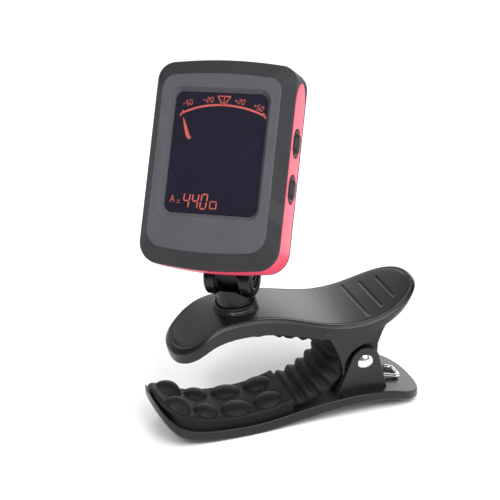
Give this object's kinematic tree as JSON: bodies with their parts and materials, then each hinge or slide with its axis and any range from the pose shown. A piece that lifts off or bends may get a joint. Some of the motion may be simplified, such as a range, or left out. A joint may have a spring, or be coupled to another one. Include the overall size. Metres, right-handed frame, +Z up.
{
  "type": "clip-on instrument tuner",
  "caption": "Clip-on tuner: tilting display head on a swivelling fork post, carried by a sprung clip with rubber-lined jaws.",
  "frame": {"origin": "middle of the base rectangle under the whole tuner as it stands on the lower lever", "axes": "+Z up, +X from the jaws towards the finger handles, -Y the side the screen is turned towards"},
  "size_m": [0.073, 0.0465, 0.0946],
  "materials": {
    "satin_shell": "satin moulded black ABS with a fine spark texture",
    "grey_case": "charcoal moulded ABS, fine matt texture",
    "red_trim": "pinkish red moulded plastic, semi-gloss",
    "soft_rubber": "soft black moulded rubber, matt",
    "button_rubber": "black rubber key caps",
    "window": "dark smoked acrylic, polished",
    "bright_steel": "nickel-plated steel, polished",
    "plain_steel": "zinc-plated steel",
    "brass": "brass disc with a ceramic face",
    "board": "green solder-masked circuit board",
    "chip": "black epoxy",
    "lcd": "glass display cell",
    "light_guide": "milky acrylic light guide",
    "nylon": "natural nylon"
  },
  "bodies": {
    "lower_clip": {"lower_lever": "satin_shell", "lower_jaw_pad": "soft_rubber", "throat_bellows": "soft_rubber", "pivot_pin": "bright_steel", "pin_retainer": "bright_steel", "torsion_spring": "bright_steel"},
    "upper_clip": {"upper_lever": "satin_shell", "upper_jaw_pad": "soft_rubber"},
    "neck": {"fork_post": "satin_shell", "tilt_screw": "plain_steel", "tilt_nut": "plain_steel", "friction_washers": "nylon", "swivel_screw": "plain_steel", "swivel_washer": "plain_steel"},
    "head": {"front_bezel": "grey_case", "rear_cover": "grey_case", "side_trim": "red_trim", "display_window": "window", "case_screws": "plain_steel", "lcd_panel": "lcd", "backlight_guide": "light_guide", "zebra_strip": "soft_rubber", "circuit_board": "board", "board_chips": "chip", "coin_cell": "bright_steel", "battery_contact_minus": "plain_steel", "battery_contact_plus": "plain_steel", "piezo_disc": "brass", "power_switch": "chip", "pitch_switch": "chip"},
    "battery_door": {"battery_door": "grey_case"},
    "power_button": {"power_button": "button_rubber"},
    "pitch_button": {"pitch_button": "button_rubber"}
  },
  "joints": [
    {"name": "clip_hinge", "type": "hinge", "parent": "lower_clip", "child": "upper_clip", "pos_m": [0.0199, -0.00107, 0.01422], "axis": [0, 1, 0], "range_deg": [0, 28], "stiffness_Nm_per_rad": 0.35, "springref_deg": -8.59, "deforming": ["torsion_spring", "throat_bellows"]},
    {"name": "post_swivel", "type": "hinge", "parent": "upper_clip", "child": "neck", "pos_m": [-0.01231, -0.00107, 0.04136], "axis": [-0.0516, 0, 0.9987], "continuous": true},
    {"name": "head_tilt", "type": "hinge", "parent": "neck", "child": "head", "pos_m": [-0.01231, -0.00107, 0.04136], "axis": [0.7859, -0.617, 0.0406], "range_deg": [-50, 40]},
    {"name": "battery_door_slide", "type": "slide", "parent": "head", "child": "battery_door", "axis": [0.2923, 0.4286, 0.8549], "range_m": [0, 0.008]},
    {"name": "power_button_press", "type": "slide", "parent": "head", "child": "power_button", "axis": [-0.7859, 0.617, -0.0406], "range_m": [0, 0.00035], "stiffness_N_per_m": 3000, "springref_m": -0.0001},
    {"name": "pitch_button_press", "type": "slide", "parent": "head", "child": "pitch_button", "axis": [-0.7859, 0.617, -0.0406], "range_m": [0, 0.00035], "stiffness_N_per_m": 3000, "springref_m": -0.0001}
  ]
}
